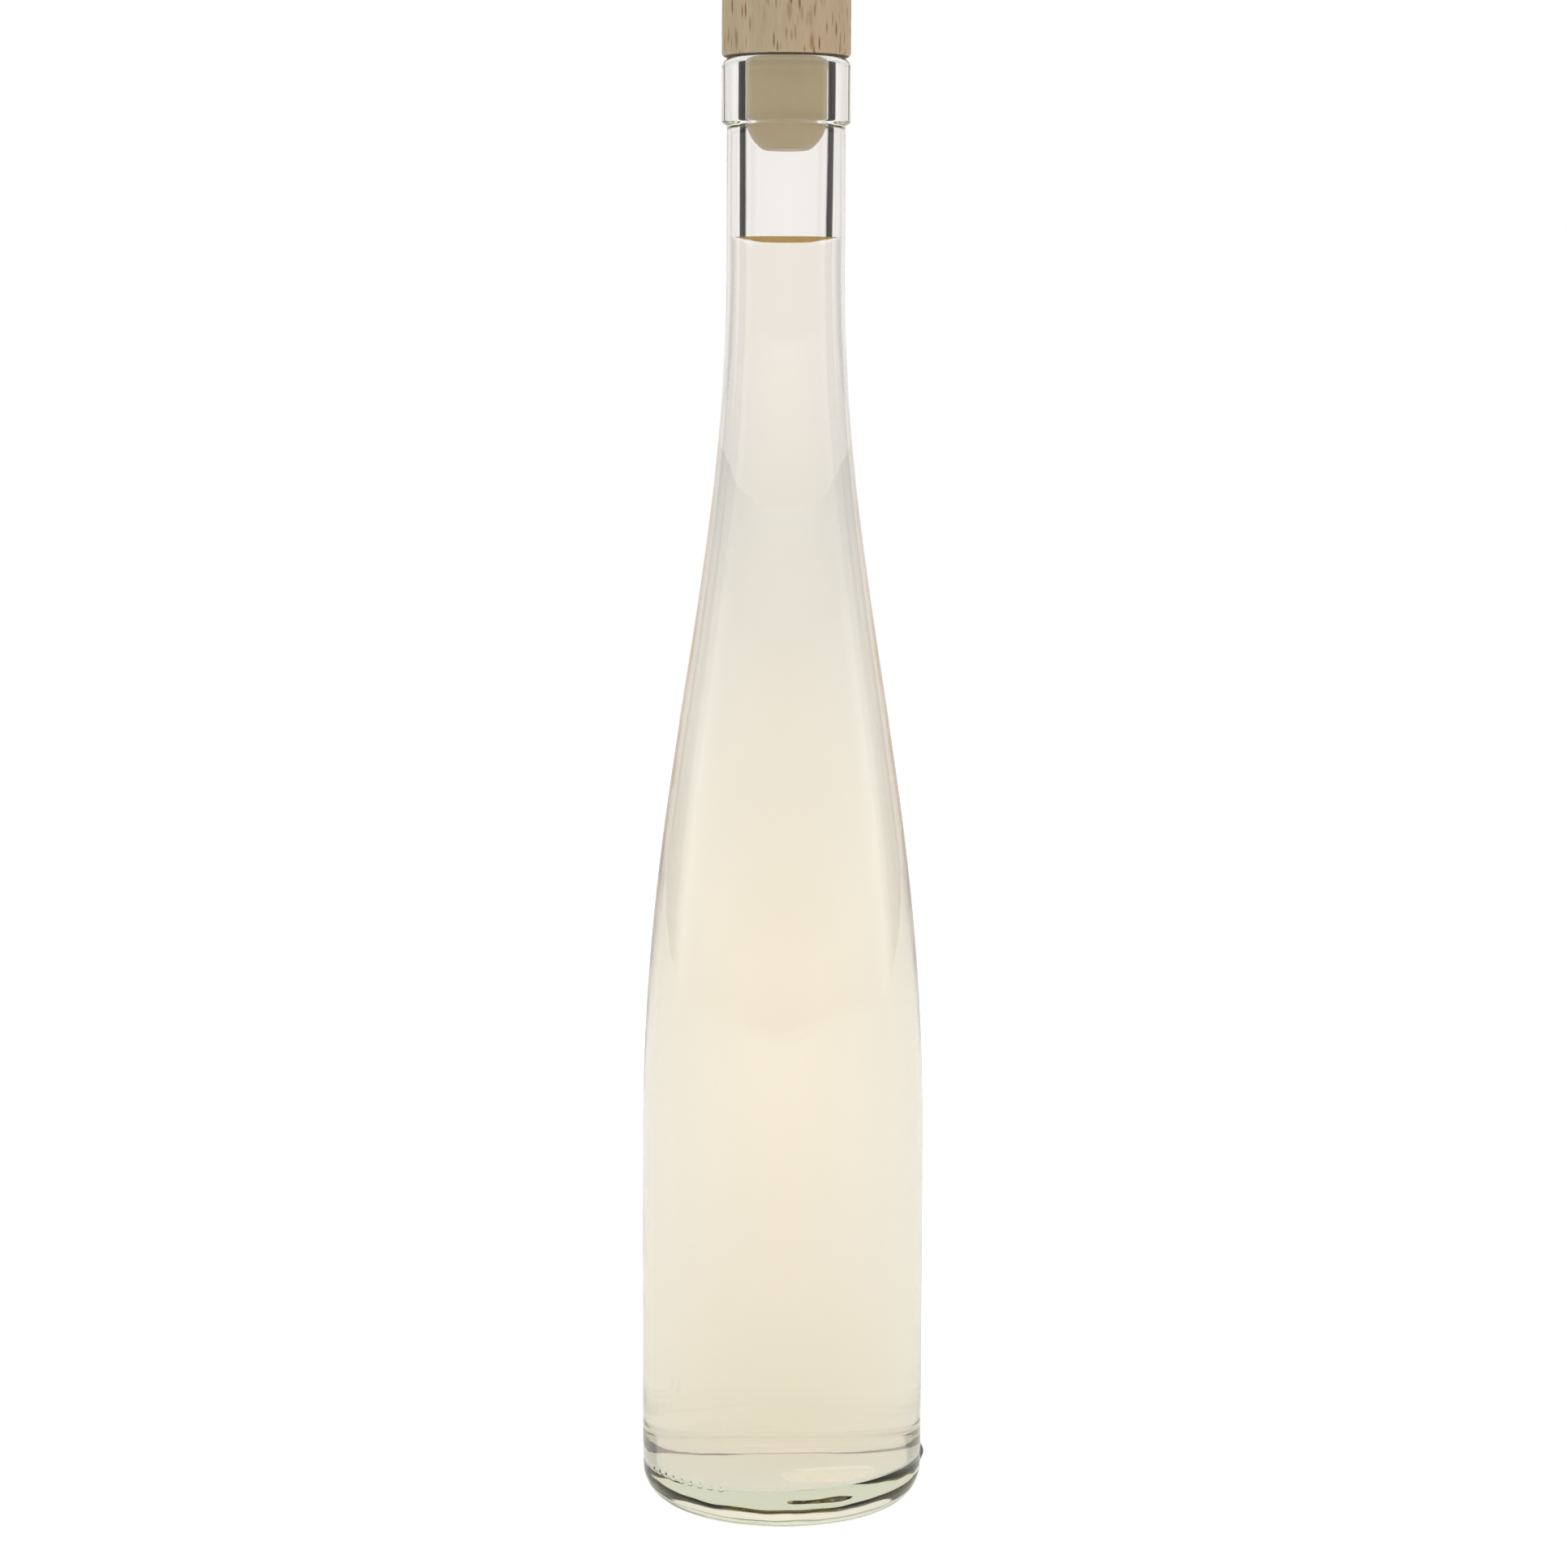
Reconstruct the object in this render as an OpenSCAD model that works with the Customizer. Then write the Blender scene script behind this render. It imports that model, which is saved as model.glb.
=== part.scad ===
// Slender flute bottle of clear glass, filled, closed by a wooden stopper with a moulded shank.
// Millimetres, +Z up along the bottle's axis, with the origin on the table under its centre.

/* [Glass body] */
// Height of the glass, from the table to the rim
glass_h = 331.2; // [300:0.1:370]
// Diameter of the straight body
body_d = 65; // [58:0.5:76]
// Height above the table where the straight body ends
straight_h = 84; // [50:1:110]
// How far the shoulder keeps the direction of the straight body
lower_pull = 85; // [60:1:95]
// How far the shoulder keeps the direction of the neck
upper_pull = 74; // [60:1:95]
// Wall of the body
wall = 2.5; // [2:0.1:3.5]

/* [Glass base] */
// Outer rounding of the heel
heel_r = 7.8; // [5:0.1:10]
// Inner rounding where the wall meets the floor
floor_r = 1.6; // [1:0.1:8]
// Glass under the floor's edge
base_t = 9.4; // [4:0.1:12]
// Rise of the floor at its middle
floor_rise = 0.6; // [0.2:0.1:5]
// Width of the ring that the bottle stands on
ring_w = 13; // [2:0.5:16]
// Rise of the hollow under the base, at its middle
punt_h = 0.8; // [0.4:0.1:3]
// Height of the band above the heel that carries the raised marks
band_h = 5.7; // [3:0.1:12]
// How far that band draws in towards the heel, so that its marks rub less
band_draw = 0.15; // [0.05:0.05:0.5]

/* [Neck and mouth] */
// Diameter of the straight neck
neck_d = 26.7; // [25:0.1:28.2]
// Length of the straight neck below the collar
neck_l = 31; // [15:1:45]
// Diameter of the collar round the mouth
collar_d = 29; // [28.6:0.1:32]
// Height of the collar
collar_h = 15; // [12:0.5:20]
// Height of the slope under the collar
collar_foot_h = 0.7; // [0.4:0.1:3]
// Rounding of the rim's outer edge
rim_r = 2; // [1:0.1:2.5]
// Rounding of the rim's inner edge
lip_r = 0.8; // [0.4:0.1:1.2]
// Diameter of the bore, a standard cork mouth
bore_d = 18.5; // [17.5:0.1:20]

/* [Raised marks on the heel] */
// How far the turning lug stands out from the band
lug_reach = 0.8; // [0.3:0.1:1]
// Diameter of the turning lug
lug_d = 5.4; // [3:0.1:6]
// Height of the lug's middle above the table
lug_z = 10.2; // [8:0.1:20]
// Number of plain dots in the row beside it
dot_count = 9; // [1:1:20]
// Diameter of the ball that each dot is cut from
dot_ball_d = 1.8; // [1.2:0.1:2.4]
// How far each dot stands out from the band
dot_reach = 0.3; // [0.2:0.05:0.5]
// Height of the row of dots above the table
dot_z = 10; // [8:0.1:20]
// Turn of the first dot round the axis, in degrees
dot_turn = 205; // [0:1:360]
// Turn from one dot to the next, in degrees
dot_step = 5; // [4:0.5:9]

/* [Liquid] */
// Height of the liquid's level above the foot of the straight neck
fill_rise = 4.7; // [2:0.1:12]
// Width of the edge that climbs the glass
climb_w = 3; // [1:0.1:5]
// Slope of the middle stretch of that edge
climb_slope = 0.55; // [0.3:0.01:0.7]
// How softly the edge leaves the level
climb_foot = 0.18; // [0.05:0.01:0.4]
// Height of the steep tip at the glass
climb_tip_h = 0.15; // [0.05:0.05:1.5]
// How late the tip rises: more is later
climb_tip_bend = 8; // [4:1:16]
// Gap between the liquid and the glass
liquid_gap = 0.05; // [0.02:0.01:0.1]

/* [Stopper head] */
// Diameter of the wooden head
head_d = 29; // [26:0.1:34]
// Height of the wooden head
head_h = 20; // [14:0.5:30]
// Rounding of the head's two edges
head_edge_r = 0.9; // [0.5:0.1:3]
// Gap between the head and the rim
seat_gap = 0.25; // [0.2:0.05:0.5]

/* [Stopper shank] */
// Length of the shank below the head
shank_l = 20.5; // [16:0.5:24]
// Length of the seal at the top of the shank
seal_l = 2.8; // [1:0.1:6]
// Gap between the seal and the bore
fit_gap = 0.05; // [0.02:0.01:0.09]
// Gap between the rest of the shank and the bore
shank_gap = 0.25; // [0.1:0.05:0.5]
// Rounding of the shank's tip
tip_r = 8; // [6:0.5:9]
// Diameter of the flat end of the tip
tip_d = 10; // [8:0.5:12]
// Diameter of the peg that the head is glued to
peg_d = 9.7; // [7:0.1:12]
// Length of the peg
peg_l = 9.85; // [6:0.05:11]
// Thickness of the glue round the peg
glue_t = 0.15; // [0.1:0.05:0.3]

/* [Hidden] */

// Smoothness of round pieces, and steps along arcs and along the shoulder
$fn = 128;
arc_steps = 12;
curve_steps = 44;

body_r = body_d / 2;
inner_r = body_r - wall;
neck_r = neck_d / 2;
collar_r = collar_d / 2;
bore_r = bore_d / 2;
collar_base_z = glass_h - collar_h;
neck_base_z = collar_base_z - neck_l;
level_z = neck_base_z + fill_rise;
band_low_r = body_r - band_draw;
ring_out_r = band_low_r - heel_r;
ring_in_r = ring_out_r - ring_w;
floor_edge_r = inner_r - floor_r;
head_r = head_d / 2;
head_z = glass_h + seat_gap;
seal_r = bore_r - fit_gap;
shank_r = bore_r - shank_gap;
peg_r = peg_d / 2;

// Points of a round stretch: middle, radius, first and last angle
function arc(x, z, r, first, last) =
    [for (i = [0:arc_steps]) let (a = first + (last - first) * i / arc_steps) [x + r * cos(a), z + r * sin(a)]];

// One point of a smooth curve with four handles, at share t of its way
function on_curve(t, a, b, c, d) =
    pow(1 - t, 3) * a + 3 * pow(1 - t, 2) * t * b + 3 * (1 - t) * t * t * c + pow(t, 3) * d;

// The shoulder, from radius low at the top of the straight body to radius high at the foot of the neck
function shoulder(low, high) =
    [for (i = [0:curve_steps]) on_curve(i / curve_steps,
        [low, straight_h], [low, straight_h + lower_pull],
        [high, neck_base_z - upper_pull], [high, neck_base_z])];

// A push-up that is level at the axis and at its edge, rising by rise above height z, its edge left out
function push_up(edge, z, rise) =
    [for (i = [0:arc_steps - 1]) [edge * i / arc_steps, z + rise * (1 + cos(180 * i / arc_steps)) / 2]];

// List a read from its last point to its first
function backwards(a) = [for (i = [len(a) - 1:-1:0]) a[i]];

// The hollow inside the glass, made smaller by gap, from the middle of the floor up to the neck
function hollow(gap) = concat(
    push_up(floor_edge_r, base_t + gap, floor_rise),
    arc(floor_edge_r, base_t + floor_r, floor_r - gap, -90, 0),
    shoulder(inner_r - gap, bore_r - gap));

// Outside of the glass, from the middle of the hollow under the base up to the rim's top
function outside() = concat(
    push_up(ring_in_r, 0, punt_h),
    [[ring_in_r, 0]],
    arc(ring_out_r, heel_r, heel_r, -90, 0),
    [[body_r, heel_r + band_h]],
    shoulder(body_r, neck_r),
    [[neck_r, collar_base_z], [collar_r, collar_base_z + collar_foot_h]],
    arc(collar_r - rim_r, glass_h - rim_r, rim_r, 0, 90));

// Radius of the band above the heel at height z
function band_r(z) = band_low_r + band_draw * min(1, max(0, (z - heel_r) / band_h));

// Raised marks cut from balls: each stands out from the band by its reach
module ball_mark(ball_r, reach, z, turn) {
    rotate([0, 0, turn]) translate([band_r(z) + reach - ball_r, 0, z]) sphere(r = ball_r);
}

module lug() {
    lug_ball_r = (lug_d * lug_d / 4 + lug_reach * lug_reach) / (2 * lug_reach);
    difference() {
        ball_mark(lug_ball_r, lug_reach, lug_z, 0);
        translate([0, 0, lug_z]) cylinder(r = body_r - wall / 2, h = 4 * lug_ball_r, center = true);
    }
}

module dots() {
    for (i = [0:dot_count - 1]) ball_mark(dot_ball_d / 2, dot_reach, dot_z, dot_turn + i * dot_step);
}

// One piece of blown and pressed glass, with the collar, the lug and the dots in it
module glass_bottle() {
    color([0.86, 0.9, 0.87, 0.4]) union() {
        rotate_extrude() polygon(concat(
            outside(),
            arc(bore_r + lip_r, glass_h - lip_r, lip_r, 90, 180),
            backwards(hollow(0))));
        lug();
        dots();
    }
}

// The fill, with its edge drawn up the glass
module liquid() {
    r = bore_r - liquid_gap;
    climb = [for (i = [0:curve_steps]) let (t = 1 - i / curve_steps) [
        r - climb_w * (1 - t),
        level_z + climb_slope * climb_w * (norm([t, climb_foot]) - climb_foot)
            + climb_tip_h * pow(t, climb_tip_bend)]];
    color([0.93, 0.9, 0.79]) rotate_extrude() polygon(concat(hollow(liquid_gap), climb, [[0, level_z]]));
}

// Turned wooden head with a blind socket for the peg
module stopper_head() {
    side = concat(
        arc(head_r - head_edge_r, head_z + head_edge_r, head_edge_r, -90, 0),
        arc(head_r - head_edge_r, head_z + head_h - head_edge_r, head_edge_r, 0, 90));
    color([0.72, 0.64, 0.5]) difference() {
        rotate_extrude() polygon(concat([[0, head_z]], side, [[0, head_z + head_h]]));
        translate([0, 0, head_z - glue_t]) cylinder(r = peg_r + glue_t, h = peg_l + 2 * glue_t);
    }
}

// Moulded shank with the seal at its top, in one piece with the peg above it
module stopper_shank() {
    tip_end = acos(1 - (shank_r - tip_d / 2) / tip_r);
    tip_z = head_z - shank_l + tip_r * sin(tip_end);
    color([0.7, 0.64, 0.51]) rotate_extrude() polygon(concat(
        [[0, head_z - shank_l]],
        arc(shank_r - tip_r, tip_z, tip_r, -tip_end, 0),
        [[shank_r, head_z - seal_l], [seal_r, head_z - seal_l + shank_gap], [seal_r, head_z],
            [peg_r, head_z], [peg_r, head_z + peg_l], [0, head_z + peg_l]]));
}

// Glue between the peg and its socket
module glue_layer() {
    color([0.85, 0.8, 0.65]) difference() {
        translate([0, 0, head_z]) cylinder(r = peg_r + glue_t, h = peg_l + glue_t);
        translate([0, 0, head_z - glue_t]) cylinder(r = peg_r, h = peg_l + glue_t);
    }
}

glass_bottle();
liquid();
stopper_head();
stopper_shank();
glue_layer();
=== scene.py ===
# Slender flute bottle of clear glass with a straw-coloured fill and a wooden stopper, on a shooting table.
import math

import bpy
import numpy as np
from mathutils import Matrix, Vector


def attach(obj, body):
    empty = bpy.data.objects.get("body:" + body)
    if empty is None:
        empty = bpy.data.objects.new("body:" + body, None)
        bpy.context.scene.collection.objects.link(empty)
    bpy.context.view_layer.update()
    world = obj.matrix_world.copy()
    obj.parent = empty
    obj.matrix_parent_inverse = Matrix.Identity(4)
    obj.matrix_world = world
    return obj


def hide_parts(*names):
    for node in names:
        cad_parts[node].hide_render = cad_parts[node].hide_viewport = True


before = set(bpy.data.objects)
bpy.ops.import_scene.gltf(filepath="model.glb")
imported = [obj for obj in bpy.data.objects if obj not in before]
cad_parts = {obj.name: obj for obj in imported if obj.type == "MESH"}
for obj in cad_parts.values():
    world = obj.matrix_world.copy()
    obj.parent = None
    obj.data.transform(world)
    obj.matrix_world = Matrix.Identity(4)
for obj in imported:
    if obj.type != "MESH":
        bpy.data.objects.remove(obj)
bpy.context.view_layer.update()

# Sizes of the real pieces in millimetres, the same as in the solids
GLASS_H = 331.2
BODY_R = 32.5
STRAIGHT_H = 84.0
LOWER_PULL = 85.0
UPPER_PULL = 74.0
WALL = 2.5
HEEL_R = 7.8
FLOOR_R = 1.6
FLOOR_RISE = 0.6
FLOOR_TILT = 1.0
FLOOR_WAVE = 0.12
HOLLOW_OFF = 8.0
HOLLOW_BACK = 4.0
BASE_T = 9.4
RING_W = 13.0
PUNT_H = 0.8
BAND_H = 5.7
BAND_DRAW = 0.15
NECK_R = 13.35
NECK_L = 31.0
COLLAR_R = 14.5
COLLAR_H = 15.0
COLLAR_FOOT_H = 0.7
RIM_R = 2.0
LIP_R = 0.8
BORE_R = 9.25
BORE_WAVE = 0.005
BORE_LEAN = 0.2
LUG_REACH = 0.8
LUG_D = 5.4
LUG_Z = 10.2
DOT_COUNT = 9
DOT_BALL_D = 1.8
DOT_REACH = 0.3
DOT_Z = 10.0
DOT_TURN = 205.0
DOT_STEP = 5.0
FILL_RISE = 4.7
CLIMB_W = 3.0
CLIMB_SLOPE = 0.55
CLIMB_FOOT = 0.18
CLIMB_TIP_H = 0.15
CLIMB_TIP_BEND = 8
HEAD_R = 14.5
HEAD_H = 20.0
HEAD_EDGE_R = 0.9
SEAT_GAP = 0.25
SHANK_L = 20.5
SEAL_R = 9.2
SEAL_L = 2.8
SHANK_R = 9.0
TIP_R = 8.0
TIP_D = 10.0
PEG_R = 4.85
PEG_L = 9.85
GLUE_T = 0.15

COLLAR_BASE_Z = GLASS_H - COLLAR_H
NECK_BASE_Z = COLLAR_BASE_Z - NECK_L
LEVEL_Z = NECK_BASE_Z + FILL_RISE
BAND_LOW_R = BODY_R - BAND_DRAW
RING_OUT_R = BAND_LOW_R - HEEL_R
RING_IN_R = RING_OUT_R - RING_W
INNER_R = BODY_R - WALL
FLOOR_EDGE_R = INNER_R - FLOOR_R
HEAD_Z = GLASS_H + SEAT_GAP

# How far the fill reaches into the glass round it, so that light meets no air between the two
WETTING = 0.02

# How far the table's surface stands over the ring, so that light passes from the glass into the table
CONTACT = 0.2


# Surfaces

def arc(r, z, radius, first, last, steps):
    """Points of a round stretch: (r + radius cos a, z + radius sin a), with a from first to last in degrees."""
    a = np.radians(np.linspace(first, last, steps + 1))
    return np.column_stack([r + radius * np.cos(a), z + radius * np.sin(a)])


def line(start, end, steps):
    """Points at even steps on the straight line from start to end."""
    t = np.linspace(0, 1, steps + 1)[:, None]
    return (1 - t) * np.array(start, float) + t * np.array(end, float)


def shoulder(low, high, steps):
    """Cubic curve with four handles: it leaves the body upwards at radius low and meets the neck at high."""
    t = np.linspace(0, 1, steps + 1)[:, None]
    handles = np.array([[low, STRAIGHT_H], [low, STRAIGHT_H + LOWER_PULL],
                        [high, NECK_BASE_Z - UPPER_PULL], [high, NECK_BASE_Z]])
    weights = np.hstack([(1 - t) ** 3, 3 * (1 - t) ** 2 * t, 3 * (1 - t) * t ** 2, t ** 3])
    return weights @ handles


def push_up(edge, z, rise, steps):
    """A rise that is level at the axis and at its edge: z + rise (1 + cos(180 r / edge)) / 2."""
    r = np.linspace(0, edge, steps + 1)
    return np.column_stack([r, z + rise * (1 + np.cos(np.pi * r / edge)) / 2])


def corner(before, at, after, radius, steps):
    """A corner rounded by an arc of that radius, tangent to the lines before-at and at-after."""
    before, at, after = (np.array(p, float) for p in (before, at, after))
    u = (before - at) / np.linalg.norm(before - at)
    v = (after - at) / np.linalg.norm(after - at)
    half = math.acos(max(-1.0, min(1.0, float(u @ v)))) / 2
    middle = at + (u + v) / np.linalg.norm(u + v) * radius / math.sin(half)
    first = at + u * radius / math.tan(half) - middle
    last = at + v * radius / math.tan(half) - middle
    a = math.atan2(first[1], first[0])
    b = math.atan2(last[1], last[0])
    b += 2 * math.pi * round((a - b) / (2 * math.pi))
    t = np.linspace(a, b, steps + 1)
    return middle + radius * np.column_stack([np.cos(t), np.sin(t)])


def joined(*stretches):
    """One profile from stretches in order, with points closer than a thousandth of a millimetre dropped."""
    points = np.vstack(stretches)
    step = np.linalg.norm(np.diff(points, axis=0), axis=1)
    return points[np.concatenate([[True], step > 1e-3])]


def revolved(name, profile, turns, shift=None):
    """The profile carried round the Z axis: x = r cos a, y = r sin a, z = z. Its first and last points lie on
    the axis and become single poles. shift(r, z, a) may give each point a small move outwards and upwards."""
    r = profile[1:-1, 0][:, None] + np.zeros(len(turns))
    z = profile[1:-1, 1][:, None] + np.zeros(len(turns))
    a = np.radians(turns)[None, :] + np.zeros((len(profile) - 2, 1))
    if shift:
        dr, dz = shift(r, z, a)
        r, z = r + dr, z + dz
    grid = np.stack([r * np.cos(a), r * np.sin(a), z], axis=-1).reshape(-1, 3)
    poles = np.array([[0, 0, profile[0, 1]], [0, 0, profile[-1, 1]]])
    points = np.vstack([grid, poles]) * 0.001
    rows, columns = len(profile) - 2, len(turns)
    index = np.arange(rows * columns).reshape(rows, columns)
    side = np.roll(index, -1, axis=1)
    quads = np.stack([index[:-1], side[:-1], side[1:], index[1:]], axis=-1).reshape(-1, 4)
    low = np.stack([np.full(columns, rows * columns), side[0], index[0]], axis=-1)
    high = np.stack([np.full(columns, rows * columns + 1), index[-1], side[-1]], axis=-1)
    return from_arrays(name, points, quads, np.vstack([low, high]))


def from_arrays(name, points, quads, triangles):
    """A smooth-shaded mesh object from whole arrays of points, four-sided faces and triangles."""
    mesh = bpy.data.meshes.new(name)
    corners = np.concatenate([quads.ravel(), triangles.ravel()]).astype(np.int32)
    starts = np.concatenate([np.arange(len(quads)) * 4, len(quads) * 4 + np.arange(len(triangles)) * 3])
    mesh.vertices.add(len(points))
    mesh.vertices.foreach_set("co", points.astype(np.float32).ravel())
    mesh.loops.add(len(corners))
    mesh.loops.foreach_set("vertex_index", corners)
    mesh.polygons.add(len(starts))
    mesh.polygons.foreach_set("loop_start", starts.astype(np.int32))
    mesh.polygons.foreach_set("use_smooth", np.ones(len(starts), bool))
    mesh.update(calc_edges=True)
    mesh.validate()
    piece = bpy.data.objects.new(name, mesh)
    bpy.context.scene.collection.objects.link(piece)
    return piece


def even_turns(count):
    """Angles in degrees at even steps round the axis."""
    return np.arange(count) * 360.0 / count


# Profiles

def hollow(gap, steps):
    """Inside of the glass from the middle of the floor up to the foot of the neck, made smaller by gap."""
    return joined(
        push_up(FLOOR_EDGE_R, BASE_T + gap, FLOOR_RISE, steps // 4),
        arc(FLOOR_EDGE_R, BASE_T + FLOOR_R, FLOOR_R - gap, -90, 0, steps // 4),
        line([INNER_R - gap, BASE_T + FLOOR_R], [INNER_R - gap, STRAIGHT_H], 6),
        shoulder(INNER_R - gap, BORE_R - gap, steps))


def glass_profile():
    """Underside, heel, side, shoulder, neck, collar and rim, then the bore and the floor to the axis."""
    foot = [NECK_R, COLLAR_BASE_Z]
    ledge = [COLLAR_R, COLLAR_BASE_Z + COLLAR_FOOT_H]
    outside = joined(
        line([0, 0], [RING_OUT_R - 0.5, 0], 30),
        arc(RING_OUT_R, HEEL_R, HEEL_R, -90, 0, 26),
        line([BAND_LOW_R, HEEL_R], [BODY_R - 0.012, HEEL_R + BAND_H], 26),
        line([BODY_R, HEEL_R + BAND_H + 1], [BODY_R, STRAIGHT_H], 6),
        shoulder(BODY_R, NECK_R, 64),
        corner([NECK_R, NECK_BASE_Z], foot, ledge, 0.35, 6),
        corner(foot, ledge, [COLLAR_R, GLASS_H], 0.6, 8),
        arc(COLLAR_R - RIM_R, GLASS_H - RIM_R, RIM_R, 0, 90, 12))
    lip = arc(BORE_R + LIP_R, GLASS_H - LIP_R, LIP_R, 90, 180, 8)
    bore = line([BORE_R, GLASS_H - LIP_R], [BORE_R, NECK_BASE_Z], 60)
    return joined(outside, lip, bore, hollow(0, 56)[::-1])


def climbing_edge(steps):
    """The liquid's surface from the glass to where it is level: with t falling from 1 at the glass to 0, it
    stands slope W (sqrt(t^2 + foot^2) - foot) + tip height t^bend over the level at W (1 - t) from the glass,
    W being CLIMB_W and the rest the other CLIMB values."""
    t = np.concatenate([[1, 0.997], np.linspace(0.99, 0, steps)])
    rise = CLIMB_SLOPE * CLIMB_W * (np.hypot(t, CLIMB_FOOT) - CLIMB_FOOT) + CLIMB_TIP_H * t ** CLIMB_TIP_BEND
    return np.column_stack([BORE_R - CLIMB_W * (1 - t), LEVEL_Z + rise])


def liquid_profile():
    """The hollow filled up to the level, with the edge that climbs the glass."""
    r = BORE_R + WETTING
    climb = climbing_edge(80)
    # The surface keeps its slope into the glass, so that it is smooth where it meets the glass
    top = climb[0, 1] + WETTING * (climb[0, 1] - climb[1, 1]) / (climb[0, 0] - climb[1, 0])
    return joined(hollow(-WETTING, 64), line([r, NECK_BASE_Z], [r, top - 0.02], 4), [[r, top]], climb,
                  line([BORE_R - CLIMB_W, LEVEL_Z], [0, LEVEL_Z], 3))


def head_profile():
    """Socket's roof and wall, underside, side with two rounded edges, and top."""
    socket_r, roof = PEG_R + GLUE_T, HEAD_Z + PEG_L + GLUE_T
    r, top = HEAD_R - HEAD_EDGE_R, HEAD_Z + HEAD_H
    return joined(
        line([0, roof], [socket_r, roof], 2), line([socket_r, roof - 0.02], [socket_r, HEAD_Z + 0.02], 4),
        line([socket_r + 0.02, HEAD_Z], [r, HEAD_Z], 8),
        arc(r, HEAD_Z + HEAD_EDGE_R, HEAD_EDGE_R, -90, 0, 12),
        line([HEAD_R, HEAD_Z + HEAD_EDGE_R], [HEAD_R, top - HEAD_EDGE_R], 16),
        arc(r, top - HEAD_EDGE_R, HEAD_EDGE_R, 0, 90, 12),
        line([r, top], [0, top], 8))


def shank_profile():
    """Flat end, rounded tip, straight side, the seal under the head, and the peg above it."""
    end = math.degrees(math.acos(1 - (SHANK_R - TIP_D / 2) / TIP_R))
    low = HEAD_Z - SHANK_L
    tip_z = low + TIP_R * math.sin(math.radians(end))
    seal_z = HEAD_Z - SEAL_L
    return joined(
        line([0, low], [TIP_D / 2 - 0.4, low], 4),
        arc(SHANK_R - TIP_R, tip_z, TIP_R, -end + 2, 0, 20),
        line([SHANK_R, tip_z], [SHANK_R, seal_z - 0.2], 12),
        line([SEAL_R, seal_z], [SEAL_R, HEAD_Z - 0.02], 4),
        line([SEAL_R - 0.02, HEAD_Z], [PEG_R + 0.02, HEAD_Z], 3),
        line([PEG_R, HEAD_Z + 0.02], [PEG_R, HEAD_Z + PEG_L - 0.02], 4),
        line([PEG_R - 0.02, HEAD_Z + PEG_L], [0, HEAD_Z + PEG_L], 2))


def uneven_floor(r, z, a):
    """Upward moves of the floor that blowing leaves: it climbs towards +X and has slow waves, and the moves fade
    up the wall: (tilt x / INNER_R + wave sin(x / 5 + 1) sin(y / 7)) exp(-(z - BASE_T) / 4), in millimetres."""
    on_floor = (r < INNER_R + 0.5) & (z > BASE_T - 1) & (z < 60)
    x, y = r * np.cos(a), r * np.sin(a)
    move = FLOOR_TILT * x / INNER_R + FLOOR_WAVE * np.sin(x / 5 + 1) * np.sin(y / 7)
    return np.where(on_floor, move * np.exp(-np.maximum(z - BASE_T, 0) / 4), 0)


def hollow_under_base(r, z, a):
    """Upward moves of the underside: PUNT_H (1 + cos(180 d / RING_IN_R)) / 2, d being the distance from the
    middle of the hollow, which lies HOLLOW_OFF beside the axis and HOLLOW_BACK behind it."""
    d = np.hypot(r * np.cos(a) - HOLLOW_OFF, r * np.sin(a) - HOLLOW_BACK)
    rise = PUNT_H * (1 + np.cos(np.pi * np.minimum(d / RING_IN_R, 1))) / 2
    return np.where((z < 0.03) & (d < RING_IN_R), rise, 0)


def uneven_bore(r, z, a):
    """Outward moves of the bore over the fill, which no mould touches: small waves
    WAVE (1 + sin(1.7 z + 2 sin 3a) sin(0.6 z + 5a)) / 2, and LEAN cos(a)^2 on the +X side, growing upwards."""
    in_bore = (r < BORE_R + 0.01) & (z > LEVEL_Z + 3)
    up = np.clip((z - LEVEL_Z - 3) / 4, 0, 1)
    wave = BORE_WAVE * (1 + np.sin(1.7 * z + 2 * np.sin(3 * a)) * np.sin(0.6 * z + 5 * a)) / 2
    lean = BORE_LEAN * np.clip((z - LEVEL_Z - 3) / 22, 0, 1) * np.maximum(np.cos(a), 0) ** 2
    return np.where(in_bore, up * wave + lean, 0)


def glass_shift(r, z, a):
    """The raised marks, the uneven floor and bore, and the hollow under the base together."""
    out, up = raised_marks(r, z, a)
    return out + uneven_bore(r, z, a), up + uneven_floor(r, z, a) + hollow_under_base(r, z, a)


def liquid_shift(r, z, a):
    """The uneven floor alone."""
    return np.zeros_like(r), uneven_floor(r, z, a)


def raised_marks(r, z, a):
    """Outward moves of the band over the heel: each mark is reach (1 - (d / radius)^2)^2 within its radius."""
    on_band = (r > INNER_R + 1) & (z < 20)
    marks = [(0.0, LUG_Z, LUG_D / 2, LUG_REACH)]
    cap_r = math.sqrt((DOT_BALL_D / 2) ** 2 - (DOT_BALL_D / 2 - DOT_REACH) ** 2)
    marks += [(DOT_TURN + DOT_STEP * i, DOT_Z, cap_r * 1.1, DOT_REACH) for i in range(DOT_COUNT)]
    out = np.zeros_like(r)
    for turn, height, radius, reach in marks:
        across = (np.degrees(a) - turn + 180) % 360 - 180
        d = np.hypot(np.radians(across) * BODY_R, z - height) / radius
        out += np.where(on_band & (d < 1), reach * (1 - np.minimum(d, 1) ** 2) ** 2, 0)
    return out, np.zeros_like(z)


def glass_turns():
    """Angles round the glass: even steps, with finer ones across the lug and the dots."""
    lug = np.arange(-4.5, 4.51, 0.5)
    dots = np.arange(DOT_TURN - 2, DOT_TURN + DOT_STEP * (DOT_COUNT - 1) + 2.01, 0.35)
    rest = even_turns(160)
    clear = (np.abs((rest + 180) % 360 - 180) > 5) & ((rest < dots[0] - 0.5) | (rest > dots[-1] + 0.5))
    return np.sort(np.concatenate([lug % 360, dots, rest[clear]]))


# Materials

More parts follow.
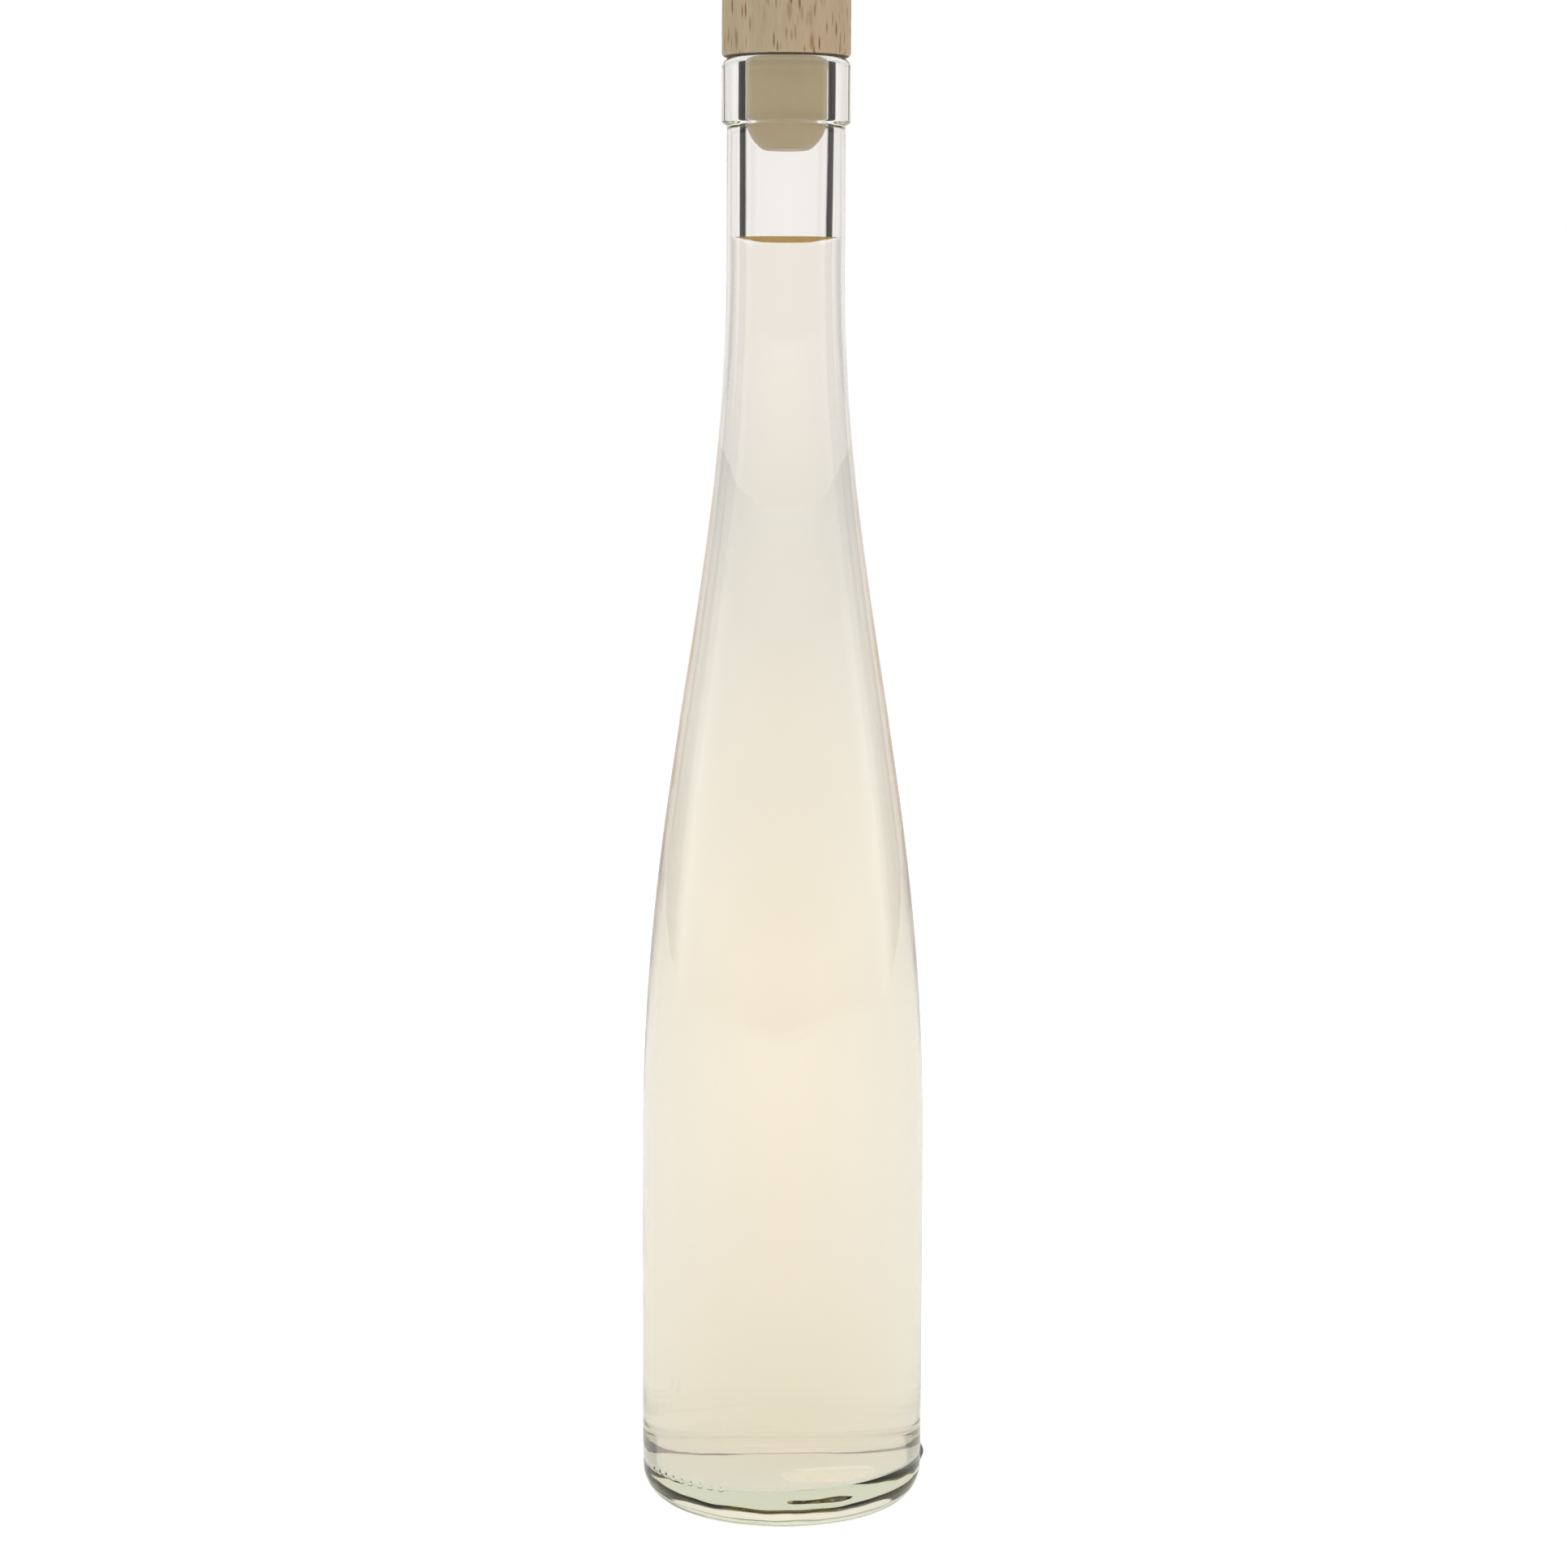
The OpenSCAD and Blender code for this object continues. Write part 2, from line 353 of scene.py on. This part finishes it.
def colour(code):
    """Linear colour of an sRGB hex code."""
    parts = [int(code[i:i + 2], 16) / 255 for i in (0, 2, 4)]
    return tuple(c / 12.92 if c <= 0.04045 else ((c + 0.055) / 1.055) ** 2.4 for c in parts) + (1.0,)


def add(tree, kind, inputs=None, **settings):
    """Adds one node: settings are its own properties, and inputs gives its sockets a value or a link."""
    made = tree.nodes.new(kind)
    for key, value in settings.items():
        setattr(made, key, value)
    for key, value in (inputs or {}).items():
        if isinstance(value, bpy.types.NodeSocket):
            tree.links.new(value, made.inputs[key])
        else:
            made.inputs[key].default_value = value
    return made


def set_stops(ramp, stops):
    """Gives a colour ramp its stops: pairs of a place from 0 to 1 and a linear colour."""
    while len(ramp.color_ramp.elements) < len(stops):
        ramp.color_ramp.elements.new(0.5)
    for element, (place, shade) in zip(ramp.color_ramp.elements, stops):
        element.position = place
        element.color = (*shade, 1)


def new_material(name):
    """An empty material and its node tree with an output."""
    made = bpy.data.materials.new(name)
    made.use_nodes = True
    made.node_tree.nodes.clear()
    return made, made.node_tree, made.node_tree.nodes.new("ShaderNodeOutputMaterial")


def flint_glass():
    """Soda-lime flint glass, blown in a mould and fire-polished: clear, a breath of green where it is thick."""
    made, tree, out = new_material("Flint glass, blown and fire-polished")
    where = add(tree, "ShaderNodeTexCoord").outputs["Object"]
    # Slow waves that blowing leaves in the wall, about 14 mm from crest to crest
    waves = add(tree, "ShaderNodeTexNoise", {"Vector": where, "Scale": 70.0, "Detail": 1.0})
    blown = add(tree, "ShaderNodeBump", {"Height": waves.outputs["Fac"], "Strength": 0.05, "Distance": 0.001})
    # Pressing leaves stronger dents in the thick base, about 11 mm from crest to crest
    height = add(tree, "ShaderNodeSeparateXYZ", {"Vector": where})
    low = add(tree, "ShaderNodeMapRange", {
        "Value": height.outputs["Z"], "From Min": 0.008, "From Max": 0.014, "To Min": 0.45, "To Max": 0.0})
    dents = add(tree, "ShaderNodeTexNoise", {"Vector": where, "Scale": 90.0, "Detail": 1.0})
    bump = add(tree, "ShaderNodeBump", {
        "Height": dents.outputs["Fac"], "Strength": low.outputs["Result"], "Distance": 0.001,
        "Normal": blown.outputs["Normal"]})
    surface = add(tree, "ShaderNodeBsdfPrincipled", {
        "Base Color": (1, 1, 1, 1), "Roughness": 0.0, "IOR": 1.52, "Transmission Weight": 1.0,
        "Normal": bump.outputs["Normal"]})
    inside = add(tree, "ShaderNodeVolumeAbsorption", {"Color": colour("E3E1A5"), "Density": 9.0})
    tree.links.new(surface.outputs["BSDF"], out.inputs["Surface"])
    tree.links.new(inside.outputs["Volume"], out.inputs["Volume"])
    return made


def straw_liquid():
    """Dilute wine or spirit, filtered clear: it bends light less than glass and takes blue from it, so it looks
    straw, and golden along its climbing edge, where the light has been down the whole bottle."""
    made, tree, out = new_material("Straw liquid, filtered clear")
    where = add(tree, "ShaderNodeTexCoord").outputs["Object"]
    # Ripples far too low to see singly, 6 mm from crest to crest
    ripples = add(tree, "ShaderNodeTexNoise", {"Vector": where, "Scale": 160.0, "Detail": 1.0})
    bump = add(tree, "ShaderNodeBump", {"Height": ripples.outputs["Fac"], "Strength": 0.02, "Distance": 0.001})
    surface = add(tree, "ShaderNodeBsdfPrincipled", {
        "Base Color": (1, 1, 1, 1), "Roughness": 0.0, "IOR": 1.345, "Transmission Weight": 1.0,
        "Normal": bump.outputs["Normal"]})
    inside = add(tree, "ShaderNodeVolumeAbsorption", {"Color": colour("E8CB6C"), "Density": 8.0})
    tree.links.new(surface.outputs["BSDF"], out.inputs["Surface"])
    tree.links.new(inside.outputs["Volume"], out.inputs["Volume"])
    return made


def beech():
    """Steamed beech, turned and sanded: greyish tan with short brown ray flecks along the grain, unlacquered."""
    made, tree, out = new_material("Beech, turned and sanded")
    where = add(tree, "ShaderNodeTexCoord").outputs["Object"]
    # The wood leans one degree in the lathe, so nothing in it runs quite upright
    leaning = add(tree, "ShaderNodeMapping", {"Vector": where, "Rotation": (0.0, math.radians(1.0), 0.0)})
    # Growth rings about 4 mm apart, which wander
    ring_place = add(tree, "ShaderNodeMapping", {
        "Vector": leaning.outputs["Vector"], "Location": (0.06, 0.035, 0.0), "Scale": (1, 1, 0.05)})
    rings = add(tree, "ShaderNodeTexNoise", {
        "Vector": ring_place.outputs["Vector"], "Scale": 240.0, "Detail": 2.0})
    # Fibres about 0.4 mm wide and 4 mm long
    fibre_place = add(tree, "ShaderNodeMapping", {"Vector": leaning.outputs["Vector"], "Scale": (1, 1, 0.1)})
    fibres = add(tree, "ShaderNodeTexNoise", {
        "Vector": fibre_place.outputs["Vector"], "Scale": 2400.0, "Detail": 3.0, "Roughness": 0.6})
    # The wood turns from grey on one side of the head to pink on the other
    side = add(tree, "ShaderNodeSeparateXYZ", {"Vector": where})
    warmth = add(tree, "ShaderNodeMapRange", {
        "Value": side.outputs["X"], "From Min": -HEAD_R / 1000, "From Max": HEAD_R / 1000})
    grey_wood = add(tree, "ShaderNodeMix", {
        "Factor": fibres.outputs["Fac"], 6: colour("C6B693"), 7: colour("DACBA8")}, data_type="RGBA")
    pink_wood = add(tree, "ShaderNodeMix", {
        "Factor": fibres.outputs["Fac"], 6: colour("D2B793"), 7: colour("E3CBA8")}, data_type="RGBA")
    wood = add(tree, "ShaderNodeMix", {
        "Factor": warmth.outputs["Result"], 6: grey_wood.outputs[2], 7: pink_wood.outputs[2]}, data_type="RGBA")
    ringed = add(tree, "ShaderNodeMix", {
        "Factor": rings.outputs["Fac"], 6: (0.86, 0.86, 0.87, 1), 7: (1.12, 1.11, 1.09, 1)}, data_type="RGBA")
    toned = add(tree, "ShaderNodeMix", {
        "Factor": 1.0, 6: wood.outputs[2], 7: ringed.outputs[2]}, data_type="RGBA", blend_type="MULTIPLY")
    # Ray flecks about 0.5 mm wide and 3 mm long, fewer ones 1.2 mm by 5 mm, and grey dashes between them
    dashes = flecks(tree, leaning, (1.0, 1.0, 0.14), 1200.0, 0.25, 0.0052)
    small = flecks(tree, leaning, (1.0, 1.0, 0.17), 1000.0, 0.3, 0.0)
    large = flecks(tree, leaning, (1.0, 1.0, 0.25), 430.0, 0.45, 0.0021)
    dashed = add(tree, "ShaderNodeMix", {
        "Factor": dashes, 6: toned.outputs[2], 7: colour("85714A")}, data_type="RGBA")
    fleck = add(tree, "ShaderNodeMath", {0: small, 1: large}, operation="MAXIMUM")
    # Painted shade: the underside is darker, up to the edge's rounding, standing in for the shade in the gap
    # between the head and the rim
    under = add(tree, "ShaderNodeMapRange", {
        "Value": side.outputs["Z"], "From Min": (HEAD_Z + 0.1) / 1000, "From Max": (HEAD_Z + 0.2) / 1000,
        "To Min": 0.85, "To Max": 0.0})
    flecked = add(tree, "ShaderNodeMix", {
        "Factor": fleck.outputs["Value"], 6: dashed.outputs[2], 7: colour("955A24")}, data_type="RGBA")
    rough = add(tree, "ShaderNodeMapRange", {
        "Value": fibres.outputs["Fac"], "From Min": 0.2, "From Max": 0.8, "To Min": 0.66, "To Max": 0.52})
    bump = add(tree, "ShaderNodeBump", {"Height": fibres.outputs["Fac"], "Strength": 0.12, "Distance": 0.0001})
    # Painted shade under the head, mixed into the wood's colour
    painted_shade_under_head = add(tree, "ShaderNodeMix", {
        "Factor": under.outputs["Result"], 6: flecked.outputs[2], 7: colour("3E3018")}, data_type="RGBA")
    surface = add(tree, "ShaderNodeBsdfPrincipled", {
        "Base Color": painted_shade_under_head.outputs[2], "Roughness": rough.outputs["Result"], "IOR": 1.5,
        "Normal": bump.outputs["Normal"]})
    tree.links.new(surface.outputs["BSDF"], out.inputs["Surface"])
    return made


def flecks(tree, place, stretch, scale, share, shift):
    """Ray flecks: soft spots in the cells of a stretched grid, missing from a share of the cells and stronger in
    some than in others. Gives a strength socket."""
    moved = add(tree, "ShaderNodeMapping", {
        "Vector": place.outputs["Vector"], "Location": (shift, shift, shift), "Scale": stretch})
    cells = add(tree, "ShaderNodeTexVoronoi", {"Vector": moved.outputs["Vector"], "Scale": scale})
    near = add(tree, "ShaderNodeMapRange", {
        "Value": cells.outputs["Distance"], "From Min": 0.16, "From Max": 0.36, "To Min": 1.0, "To Max": 0.0})
    chance = add(tree, "ShaderNodeSeparateColor", {"Color": cells.outputs["Color"]})
    chosen = add(tree, "ShaderNodeMapRange", {
        "Value": chance.outputs["Red"], "From Min": share, "From Max": 1.0, "To Min": 0.0, "To Max": 1.0})
    return add(tree, "ShaderNodeMath", {
        0: near.outputs["Result"], 1: chosen.outputs["Result"]}, operation="MULTIPLY").outputs["Value"]


def plug_elastomer():
    """Food-grade elastomer, injection moulded: a satin skin, its cork colour faintly cloudy and painted lighter,
    standing in for light that glows through it from behind.
    """
    made, tree, out = new_material("Elastomer, injection moulded satin")
    where = add(tree, "ShaderNodeTexCoord").outputs["Object"]
    # Clouds of pigment about 3 mm wide
    cloud = add(tree, "ShaderNodeTexNoise", {"Vector": where, "Scale": 330.0, "Detail": 3.0})
    # Painted light: both tones are lighter than the elastomer's own colour, standing in for the backlight that
    # glows through it
    tone = add(tree, "ShaderNodeMix", {
        "Factor": cloud.outputs["Fac"], 6: colour("F8E2B4"), 7: colour("FEEBC4")}, data_type="RGBA")
    # Eroded mould skin, 0.15 mm grain
    grain = add(tree, "ShaderNodeTexNoise", {"Vector": where, "Scale": 6600.0, "Detail": 2.0})
    bump = add(tree, "ShaderNodeBump", {"Height": grain.outputs["Fac"], "Strength": 0.2, "Distance": 0.00005})
    surface = add(tree, "ShaderNodeBsdfPrincipled", {
        "Base Color": tone.outputs[2], "Roughness": 0.45, "IOR": 1.49, "Normal": bump.outputs["Normal"]})
    tree.links.new(surface.outputs["BSDF"], out.inputs["Surface"])
    return made


def set_glue():
    """Wood glue, brushed on and set: a pale yellow, half-glossy film, seen only in a stopper taken apart."""
    made, tree, out = new_material("Wood glue, set")
    where = add(tree, "ShaderNodeTexCoord").outputs["Object"]
    film = add(tree, "ShaderNodeTexNoise", {"Vector": where, "Scale": 500.0, "Detail": 2.0})
    tone = add(tree, "ShaderNodeMix", {
        "Factor": film.outputs["Fac"], 6: colour("D8C98F"), 7: colour("EADFB4")}, data_type="RGBA")
    surface = add(tree, "ShaderNodeBsdfPrincipled", {
        "Base Color": tone.outputs[2], "Roughness": 0.35, "IOR": 1.46})
    tree.links.new(surface.outputs["BSDF"], out.inputs["Surface"])
    return made


# The pieces

glass = revolved("glass_shell", glass_profile(), glass_turns(), glass_shift)
glass.data.materials.append(flint_glass())
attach(glass, "bottle")
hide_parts("glass_bottle")

fill = revolved("liquid_fill", liquid_profile(), even_turns(192), liquid_shift)
fill.data.materials.append(straw_liquid())
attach(fill, "bottle")
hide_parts("liquid")

head = revolved("turned_head", head_profile(), even_turns(192))
head.data.materials.append(beech())
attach(head, "stopper")
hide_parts("stopper_head")

shank = revolved("moulded_shank", shank_profile(), even_turns(192))
shank.data.materials.append(plug_elastomer())
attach(shank, "stopper")
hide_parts("stopper_shank")

glue_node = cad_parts["glue_layer"]
glue_node.data.materials.clear()
glue_node.data.materials.append(set_glue())


# The shooting table and the light

# Colour of the studio's light, a little warm
LIGHT = (1.0, 0.965, 0.968)

# Colour of the room in front of the bottle
ROOM = (1.0, 0.91, 0.8)

# How much brighter the table is under the bottle: a painted pool of light
PAINTED_POOL_UNDER = 1.4

# Colour of the lamp under the table, and half the table's width in metres
LAMP = (0.97, 1.0, 1.04)
TABLE_HALF = 1.8


def table_top():
    """White acrylic table, lit from below, so that the bottle stands on light as in the photograph."""
    made, tree, out = new_material("White acrylic, frosted")
    seen = add(tree, "ShaderNodeLightPath")
    place = add(tree, "ShaderNodeSeparateXYZ", {"Vector": add(tree, "ShaderNodeTexCoord").outputs["Object"]})
    # The lamp under the table is brightest 0.6 m behind the bottle and weaker towards its front and sides
    depth = add(tree, "ShaderNodeMapRange", {"Value": place.outputs["Y"], "From Min": 0.0, "From Max": 1.5})
    lamp = add(tree, "ShaderNodeValToRGB", {"Fac": depth.outputs["Result"]})
    set_stops(lamp, [(share, [light * part for part in LAMP]) for share, light in (
        (0.0, 0.8), (0.1, 0.87), (0.2, 0.96), (0.38, 1.12), (0.5, 0.99), (0.72, 0.825), (1.0, 0.775))])
    aside = add(tree, "ShaderNodeMath", {0: place.outputs["X"], 1: 2.0}, operation="POWER")
    spread = add(tree, "ShaderNodeMath", {0: 1.0, 1: add(
        tree, "ShaderNodeMath", {0: aside.outputs["Value"], 1: 1.0}).outputs["Value"]}, operation="DIVIDE")
    # Painted light: close to the bottle the table is tinted straw, standing in for the straw light that has come
    # through it
    near = add(tree, "ShaderNodeVectorMath", {
        0: add(tree, "ShaderNodeTexCoord").outputs["Object"]}, operation="LENGTH")
    painted_straw_light = add(tree, "ShaderNodeMapRange", {
        "Value": near.outputs["Value"], "From Min": 0.03, "From Max": 0.25, "To Min": 0.86, "To Max": 1.0})
    tint = add(tree, "ShaderNodeCombineXYZ", {"X": 1.0, "Y": 1.0, "Z": painted_straw_light.outputs["Result"]})
    tinted = add(tree, "ShaderNodeVectorMath", {
        0: lamp.outputs["Color"], 1: tint.outputs["Vector"]}, operation="MULTIPLY")
    # Painted pool of light: under the bottle the table is brighter, standing in for the lamp's light gathered by
    # the glass that stands on it
    under = add(tree, "ShaderNodeMapRange", {
        "Value": near.outputs["Value"], "From Min": 0.03, "From Max": 0.034, "To Min": PAINTED_POOL_UNDER, "To Max": 1.0})
    power = add(tree, "ShaderNodeMath", {
        0: spread.outputs["Value"], 1: under.outputs["Result"]}, operation="MULTIPLY")
    glowing = add(tree, "ShaderNodeVectorMath", {
        0: tinted.outputs["Vector"], "Scale": power.outputs["Value"]}, operation="SCALE")
    # The lens takes the bare table as pure white, as it takes the wall behind
    shown = add(tree, "ShaderNodeMix", {
        "Factor": seen.outputs["Is Camera Ray"], 6: glowing.outputs["Vector"],
        7: (1.6, 1.6, 1.6, 1)}, data_type="RGBA")
    surface = add(tree, "ShaderNodeBsdfPrincipled", {
        "Base Color": (0.586, 0.6, 0.602, 1), "Roughness": 0.8, "Specular IOR Level": 0.2,
        "Emission Color": shown.outputs[2], "Emission Strength": 0.55})
    tree.links.new(surface.outputs["BSDF"], out.inputs["Surface"])
    top = CONTACT / 1000
    half = TABLE_HALF
    corners = np.array([[-half, -half, top], [half, -half, top], [half, half, top], [-half, half, top]])
    table = from_arrays("table", corners, np.array([[0, 1, 2, 3]]), np.zeros((0, 3), int))
    table.data.materials.append(made)


def studio():
    """A white wall behind, dark gaps beside it, broad soft lights at the sides and a dim room in front."""
    world = bpy.data.worlds.new("Studio")
    bpy.context.scene.world = world
    world.use_nodes = True
    tree = world.node_tree
    tree.nodes.clear()
    way = add(tree, "ShaderNodeSeparateXYZ", {"Vector": add(tree, "ShaderNodeTexCoord").outputs["Generated"]})
    turn = add(tree, "ShaderNodeMath", {0: way.outputs["X"], 1: way.outputs["Y"]}, operation="ARCTAN2")
    side = add(tree, "ShaderNodeMath", {0: turn.outputs["Value"]}, operation="ABSOLUTE")
    share = add(tree, "ShaderNodeMath", {0: side.outputs["Value"], 1: math.pi}, operation="DIVIDE")
    ramp = add(tree, "ShaderNodeValToRGB", {"Fac": share.outputs["Value"]})
    # Degrees from straight behind the bottle, strength and colour
    stops = [(0.0, 1.0, LIGHT), (16.0, 0.97, LIGHT), (41.0, 0.9, LIGHT), (44.0, 0.004, LIGHT),
             (69.0, 0.004, LIGHT), (73.0, 0.85, LIGHT), (84.0, 0.85, LIGHT), (92.0, 0.5, ROOM),
             (180.0, 0.42, ROOM)]
    set_stops(ramp, [(degrees / 180, [light * part for part in tint]) for degrees, light, tint in stops])
    # The wall is a little darker and cooler towards the table
    foot = add(tree, "ShaderNodeMapRange", {"Value": way.outputs["Z"], "From Min": -0.12, "From Max": -0.01})
    footed = add(tree, "ShaderNodeMix", {
        "Factor": foot.outputs["Result"], 6: (0.9, 0.925, 0.925, 1), 7: (1, 1, 1, 1)}, data_type="RGBA")
    walls = add(tree, "ShaderNodeVectorMath", {
        0: ramp.outputs["Color"], 1: footed.outputs[2]}, operation="MULTIPLY")
    above = add(tree, "ShaderNodeMapRange", {
        "Value": way.outputs["Z"], "From Min": 0.55, "From Max": 0.75, "To Min": 0.0, "To Max": 1.0})
    around = add(tree, "ShaderNodeMix", {
        "Factor": above.outputs["Result"], 6: walls.outputs["Vector"], 7: (*LIGHT, 1)}, data_type="RGBA")
    seen = add(tree, "ShaderNodeLightPath")
    shown = add(tree, "ShaderNodeMix", {
        "Factor": seen.outputs["Is Camera Ray"], 6: around.outputs[2], 7: (1, 1, 1, 1)}, data_type="RGBA")
    light = add(tree, "ShaderNodeBackground", {"Color": shown.outputs[2], "Strength": 1.0})
    add(tree, "ShaderNodeOutputWorld", {"Surface": light.outputs["Background"]})
    world.cycles.sampling_method = "MANUAL"
    world.cycles.sample_map_resolution = 512


table_top()
studio()

# The camera fitted to the photograph: its place in metres, its angles in degrees, its focal length and the
# picture's width in pixels, and its sensor's width in millimetres
CAMERA_PLACE = (-0.0001, -0.8691, 0.2689)
CAMERA_DOWN = 6.67
CAMERA_ROLL = 0.195
CAMERA_FOCAL = 4700
PICTURE_W = 1932
SENSOR_W = 36.0

camera = bpy.data.objects.new("camera", bpy.data.cameras.new("camera"))
bpy.context.scene.collection.objects.link(camera)
camera.data.sensor_width = SENSOR_W
camera.data.lens = CAMERA_FOCAL * SENSOR_W / PICTURE_W
camera.matrix_world = (Matrix.Translation(Vector(CAMERA_PLACE))
                       @ Matrix.Rotation(math.radians(90 - CAMERA_DOWN), 4, "X")
                       @ Matrix.Rotation(math.radians(CAMERA_ROLL), 4, "Z"))
camera.data.clip_start, camera.data.clip_end = 0.05, 20
bpy.context.scene.camera = camera

scene = bpy.context.scene
scene.view_settings.view_transform = "Standard"
scene.cycles.max_bounces = 64
scene.cycles.transmission_bounces = 64
scene.cycles.glossy_bounces = 64
scene.cycles.diffuse_bounces = 4
scene.cycles.volume_bounces = 0
